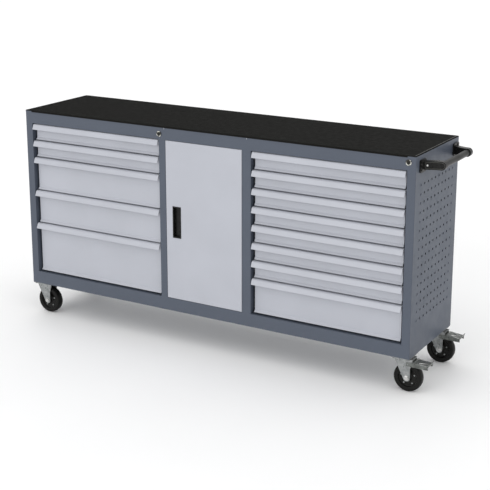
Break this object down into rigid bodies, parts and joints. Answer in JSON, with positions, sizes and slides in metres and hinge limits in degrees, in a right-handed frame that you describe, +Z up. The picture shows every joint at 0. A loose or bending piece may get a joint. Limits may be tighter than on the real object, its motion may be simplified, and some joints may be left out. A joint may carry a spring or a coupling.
{
  "type": "mobile workbench",
  "caption": "Wheeled steel workbench with a ribbed black top, drawers on both sides of a cupboard, perforated ends and a push handle.",
  "frame": {"origin": "on the floor, below the middle of the whole bench's box", "axes": "+X along the bench towards the push handle, +Y from the drawer fronts to the back, +Z up"},
  "size_m": [2.048, 0.468, 1.001],
  "materials": {
    "frame_paint": "blue-grey powder coat, satin, very fine orange peel",
    "front_paint": "light silver-grey powder coat, satin",
    "mat_rubber": "black mat with fine ribs from front to back",
    "black_plastic": "black moulded plastic, fine grain",
    "handle_coat": "black powder coat with a fine ribbed grip",
    "zinc": "bright zinc plating",
    "chrome": "polished nickel chrome",
    "tyre_rubber": "black rubber tyre on a black plastic rim"
  },
  "bodies": {
    "cabinet": {"front_frame": "frame_paint", "side_panel_left": "frame_paint", "side_panel_right": "frame_paint", "back_panel": "frame_paint", "base_panel": "frame_paint", "top_panel": "frame_paint", "worktop_mat": "mat_rubber", "divider_panels": "frame_paint", "slide_uprights": "frame_paint", "slide_rails": "zinc", "cupboard_shelves": "frame_paint", "door_catch": "black_plastic", "lock_housings": "chrome", "push_handle_brackets": "black_plastic", "push_handle_tube": "handle_coat", "mounting_bolts": "zinc", "caster_plates": "zinc"},
    "left_drawer_1": {"left_drawer_1": "front_paint"},
    "left_slides_1": {"left_slides_1": "zinc"},
    "left_drawer_2": {"left_drawer_2": "front_paint"},
    "left_slides_2": {"left_slides_2": "zinc"},
    "left_drawer_3": {"left_drawer_3": "front_paint"},
    "left_slides_3": {"left_slides_3": "zinc"},
    "left_drawer_4": {"left_drawer_4": "front_paint"},
    "left_slides_4": {"left_slides_4": "zinc"},
    "left_drawer_5": {"left_drawer_5": "front_paint"},
    "left_slides_5": {"left_slides_5": "zinc"},
    "right_drawer_1": {"right_drawer_1": "front_paint"},
    "right_slides_1": {"right_slides_1": "zinc"},
    "right_drawer_2": {"right_drawer_2": "front_paint"},
    "right_slides_2": {"right_slides_2": "zinc"},
    "right_drawer_3": {"right_drawer_3": "front_paint"},
    "right_slides_3": {"right_slides_3": "zinc"},
    "right_drawer_4": {"right_drawer_4": "front_paint"},
    "right_slides_4": {"right_slides_4": "zinc"},
    "right_drawer_5": {"right_drawer_5": "front_paint"},
    "right_slides_5": {"right_slides_5": "zinc"},
    "right_drawer_6": {"right_drawer_6": "front_paint"},
    "right_slides_6": {"right_slides_6": "zinc"},
    "right_drawer_7": {"right_drawer_7": "front_paint"},
    "right_slides_7": {"right_slides_7": "zinc"},
    "right_drawer_8": {"right_drawer_8": "front_paint"},
    "right_slides_8": {"right_slides_8": "zinc"},
    "door": {"door_panel": "front_paint", "door_grip": "black_plastic", "door_hinge_pins": "zinc"},
    "lock_core_left": {"lock_core_left": "chrome"},
    "lock_bar_left": {"lock_bar_left": "zinc"},
    "lock_core_right": {"lock_core_right": "chrome"},
    "lock_bar_right": {"lock_bar_right": "zinc"},
    "caster_fork_front_left": {"caster_fork_front_left": "zinc"},
    "wheel_front_left": {"wheel_front_left": "tyre_rubber"},
    "caster_fork_front_right": {"caster_fork_front_right": "zinc"},
    "wheel_front_right": {"wheel_front_right": "tyre_rubber"},
    "brake_pedal_front": {"brake_pedal_front": "zinc"},
    "caster_fork_rear_left": {"caster_fork_rear_left": "zinc"},
    "wheel_rear_left": {"wheel_rear_left": "tyre_rubber"},
    "caster_fork_rear_right": {"caster_fork_rear_right": "zinc"},
    "wheel_rear_right": {"wheel_rear_right": "tyre_rubber"},
    "brake_pedal_rear": {"brake_pedal_rear": "zinc"}
  },
  "joints": [
    {"name": "left_drawer_1_pull", "type": "slide", "parent": "cabinet", "child": "left_drawer_1", "axis": [0, -1, 0], "range_m": [0, 0.39]},
    {"name": "left_slides_1_follow", "type": "slide", "parent": "cabinet", "child": "left_slides_1", "axis": [0, -1, 0], "range_m": [0, 0.195]},
    {"name": "left_drawer_2_pull", "type": "slide", "parent": "cabinet", "child": "left_drawer_2", "axis": [0, -1, 0], "range_m": [0, 0.39]},
    {"name": "left_slides_2_follow", "type": "slide", "parent": "cabinet", "child": "left_slides_2", "axis": [0, -1, 0], "range_m": [0, 0.195]},
    {"name": "left_drawer_3_pull", "type": "slide", "parent": "cabinet", "child": "left_drawer_3", "axis": [0, -1, 0], "range_m": [0, 0.39]},
    {"name": "left_slides_3_follow", "type": "slide", "parent": "cabinet", "child": "left_slides_3", "axis": [0, -1, 0], "range_m": [0, 0.195]},
    {"name": "left_drawer_4_pull", "type": "slide", "parent": "cabinet", "child": "left_drawer_4", "axis": [0, -1, 0], "range_m": [0, 0.39]},
    {"name": "left_slides_4_follow", "type": "slide", "parent": "cabinet", "child": "left_slides_4", "axis": [0, -1, 0], "range_m": [0, 0.195]},
    {"name": "left_drawer_5_pull", "type": "slide", "parent": "cabinet", "child": "left_drawer_5", "axis": [0, -1, 0], "range_m": [0, 0.39]},
    {"name": "left_slides_5_follow", "type": "slide", "parent": "cabinet", "child": "left_slides_5", "axis": [0, -1, 0], "range_m": [0, 0.195]},
    {"name": "right_drawer_1_pull", "type": "slide", "parent": "cabinet", "child": "right_drawer_1", "axis": [0, -1, 0], "range_m": [0, 0.39]},
    {"name": "right_slides_1_follow", "type": "slide", "parent": "cabinet", "child": "right_slides_1", "axis": [0, -1, 0], "range_m": [0, 0.195]},
    {"name": "right_drawer_2_pull", "type": "slide", "parent": "cabinet", "child": "right_drawer_2", "axis": [0, -1, 0], "range_m": [0, 0.39]},
    {"name": "right_slides_2_follow", "type": "slide", "parent": "cabinet", "child": "right_slides_2", "axis": [0, -1, 0], "range_m": [0, 0.195]},
    {"name": "right_drawer_3_pull", "type": "slide", "parent": "cabinet", "child": "right_drawer_3", "axis": [0, -1, 0], "range_m": [0, 0.39]},
    {"name": "right_slides_3_follow", "type": "slide", "parent": "cabinet", "child": "right_slides_3", "axis": [0, -1, 0], "range_m": [0, 0.195]},
    {"name": "right_drawer_4_pull", "type": "slide", "parent": "cabinet", "child": "right_drawer_4", "axis": [0, -1, 0], "range_m": [0, 0.39]},
    {"name": "right_slides_4_follow", "type": "slide", "parent": "cabinet", "child": "right_slides_4", "axis": [0, -1, 0], "range_m": [0, 0.195]},
    {"name": "right_drawer_5_pull", "type": "slide", "parent": "cabinet", "child": "right_drawer_5", "axis": [0, -1, 0], "range_m": [0, 0.39]},
    {"name": "right_slides_5_follow", "type": "slide", "parent": "cabinet", "child": "right_slides_5", "axis": [0, -1, 0], "range_m": [0, 0.195]},
    {"name": "right_drawer_6_pull", "type": "slide", "parent": "cabinet", "child": "right_drawer_6", "axis": [0, -1, 0], "range_m": [0, 0.39]},
    {"name": "right_slides_6_follow", "type": "slide", "parent": "cabinet", "child": "right_slides_6", "axis": [0, -1, 0], "range_m": [0, 0.195]},
    {"name": "right_drawer_7_pull", "type": "slide", "parent": "cabinet", "child": "right_drawer_7", "axis": [0, -1, 0], "range_m": [0, 0.39]},
    {"name": "right_slides_7_follow", "type": "slide", "parent": "cabinet", "child": "right_slides_7", "axis": [0, -1, 0], "range_m": [0, 0.195]},
    {"name": "right_drawer_8_pull", "type": "slide", "parent": "cabinet", "child": "right_drawer_8", "axis": [0, -1, 0], "range_m": [0, 0.39]},
    {"name": "right_slides_8_follow", "type": "slide", "parent": "cabinet", "child": "right_slides_8", "axis": [0, -1, 0], "range_m": [0, 0.195]},
    {"name": "door_swing", "type": "hinge", "parent": "cabinet", "child": "door", "pos_m": [0.1445, -0.222, 0.555], "axis": [0, 0, 1], "range_deg": [0, 95]},
    {"name": "lock_core_left_turn", "type": "hinge", "parent": "cabinet", "child": "lock_core_left", "pos_m": [-0.271, -0.221, 0.964], "axis": [0, -1, 0], "range_deg": [0, 90]},
    {"name": "lock_bar_left_lift", "type": "slide", "parent": "cabinet", "child": "lock_bar_left", "axis": [0, 0, 1], "range_m": [0, 0.01697]},
    {"name": "lock_core_right_turn", "type": "hinge", "parent": "cabinet", "child": "lock_core_right", "pos_m": [0.905, -0.221, 0.973], "axis": [0, -1, 0], "range_deg": [0, 90]},
    {"name": "lock_bar_right_lift", "type": "slide", "parent": "cabinet", "child": "lock_bar_right", "axis": [0, 0, 1], "range_m": [0, 0.01697]},
    {"name": "swivel_front_left", "type": "hinge", "parent": "cabinet", "child": "caster_fork_front_left", "pos_m": [-0.983, -0.176, 0.143], "axis": [0, 0, 1], "continuous": true},
    {"name": "roll_front_left", "type": "hinge", "parent": "caster_fork_front_left", "child": "wheel_front_left", "pos_m": [-0.961, -0.176, 0.0625], "axis": [0, 1, 0], "continuous": true},
    {"name": "swivel_front_right", "type": "hinge", "parent": "cabinet", "child": "caster_fork_front_right", "pos_m": [0.895, -0.176, 0.143], "axis": [0, 0, 1], "continuous": true},
    {"name": "roll_front_right", "type": "hinge", "parent": "caster_fork_front_right", "child": "wheel_front_right", "pos_m": [0.917, -0.176, 0.0625], "axis": [0, 1, 0], "continuous": true},
    {"name": "brake_pedal_front_press", "type": "hinge", "parent": "caster_fork_front_right", "child": "brake_pedal_front", "pos_m": [0.921, -0.176, 0.124], "axis": [0, 1, 0], "range_deg": [0, 15]},
    {"name": "swivel_rear_left", "type": "hinge", "parent": "cabinet", "child": "caster_fork_rear_left", "pos_m": [-0.983, 0.184, 0.143], "axis": [0, 0, 1], "continuous": true},
    {"name": "roll_rear_left", "type": "hinge", "parent": "caster_fork_rear_left", "child": "wheel_rear_left", "pos_m": [-0.961, 0.184, 0.0625], "axis": [0, 1, 0], "continuous": true},
    {"name": "swivel_rear_right", "type": "hinge", "parent": "cabinet", "child": "caster_fork_rear_right", "pos_m": [0.895, 0.184, 0.143], "axis": [0, 0, 1], "continuous": true},
    {"name": "roll_rear_right", "type": "hinge", "parent": "caster_fork_rear_right", "child": "wheel_rear_right", "pos_m": [0.917, 0.184, 0.0625], "axis": [0, 1, 0], "continuous": true},
    {"name": "brake_pedal_rear_press", "type": "hinge", "parent": "caster_fork_rear_right", "child": "brake_pedal_rear", "pos_m": [0.921, 0.184, 0.124], "axis": [0, 1, 0], "range_deg": [0, 15]}
  ],
  "couplings": [
    {"joint": "left_slides_1_follow", "follows": "left_drawer_1_pull", "ratio": 0.5},
    {"joint": "left_slides_2_follow", "follows": "left_drawer_2_pull", "ratio": 0.5},
    {"joint": "left_slides_3_follow", "follows": "left_drawer_3_pull", "ratio": 0.5},
    {"joint": "left_slides_4_follow", "follows": "left_drawer_4_pull", "ratio": 0.5},
    {"joint": "left_slides_5_follow", "follows": "left_drawer_5_pull", "ratio": 0.5},
    {"joint": "right_slides_1_follow", "follows": "right_drawer_1_pull", "ratio": 0.5},
    {"joint": "right_slides_2_follow", "follows": "right_drawer_2_pull", "ratio": 0.5},
    {"joint": "right_slides_3_follow", "follows": "right_drawer_3_pull", "ratio": 0.5},
    {"joint": "right_slides_4_follow", "follows": "right_drawer_4_pull", "ratio": 0.5},
    {"joint": "right_slides_5_follow", "follows": "right_drawer_5_pull", "ratio": 0.5},
    {"joint": "right_slides_6_follow", "follows": "right_drawer_6_pull", "ratio": 0.5},
    {"joint": "right_slides_7_follow", "follows": "right_drawer_7_pull", "ratio": 0.5},
    {"joint": "right_slides_8_follow", "follows": "right_drawer_8_pull", "ratio": 0.5},
    {"joint": "lock_core_left_turn", "follows": "lock_bar_left_lift", "rad_per_m": 92.5},
    {"joint": "lock_core_right_turn", "follows": "lock_bar_right_lift", "rad_per_m": 92.5}
  ]
}
